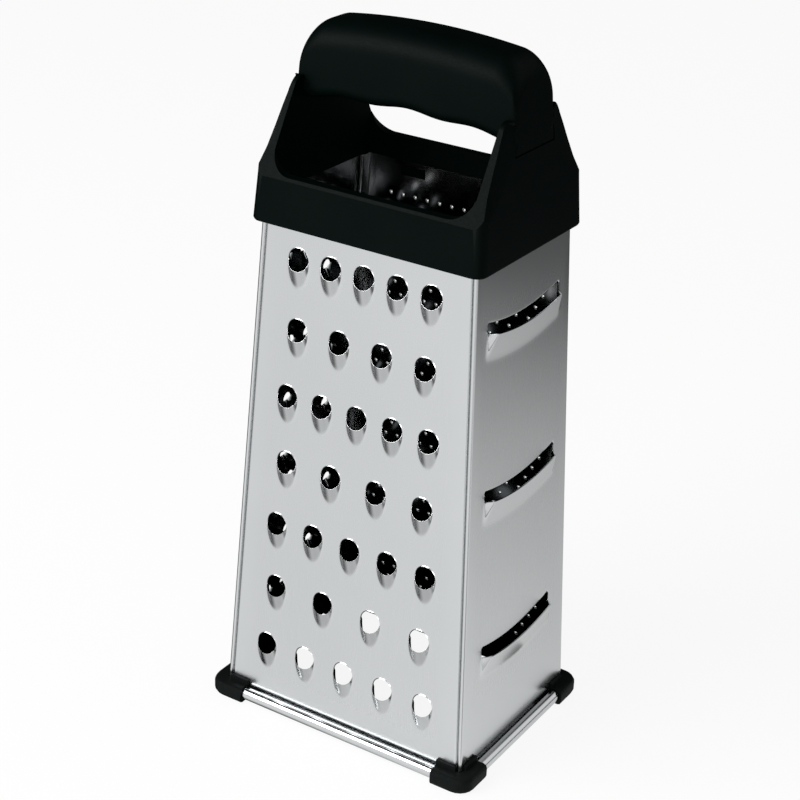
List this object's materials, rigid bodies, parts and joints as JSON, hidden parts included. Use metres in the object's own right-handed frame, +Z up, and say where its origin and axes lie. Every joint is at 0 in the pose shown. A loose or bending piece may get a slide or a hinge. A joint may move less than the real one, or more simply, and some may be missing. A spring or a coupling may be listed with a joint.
{
  "type": "box grater",
  "caption": "Free-standing tapered box grater of stainless sheet: coarse, medium and fine teeth and slicing slots, rolled foot hems, corner feet and a moulded top handle.",
  "frame": {"origin": "on the floor, under the middle of the footprint", "axes": "+Z up, -Y towards the coarse face, +X towards the slicing face"},
  "size_m": [0.1062, 0.08, 0.2408],
  "materials": {
    "satin_steel": "satin stainless sheet, finely brushed upright, with bright rolled hems",
    "frame_plastic": "near-black moulded plastic with a fine matt grain",
    "grip_plastic": "near-black moulded plastic, a little smoother than the frame",
    "foot_plastic": "near-black soft plastic, dull"
  },
  "bodies": {
    "root": {"front_panel": "satin_steel", "back_panel": "satin_steel", "left_panel": "satin_steel", "right_panel": "satin_steel", "handle_frame": "frame_plastic", "grip": "grip_plastic", "foot_front_right": "foot_plastic", "foot_front_left": "foot_plastic", "foot_back_right": "foot_plastic", "foot_back_left": "foot_plastic"}
  },
  "joints": []
}
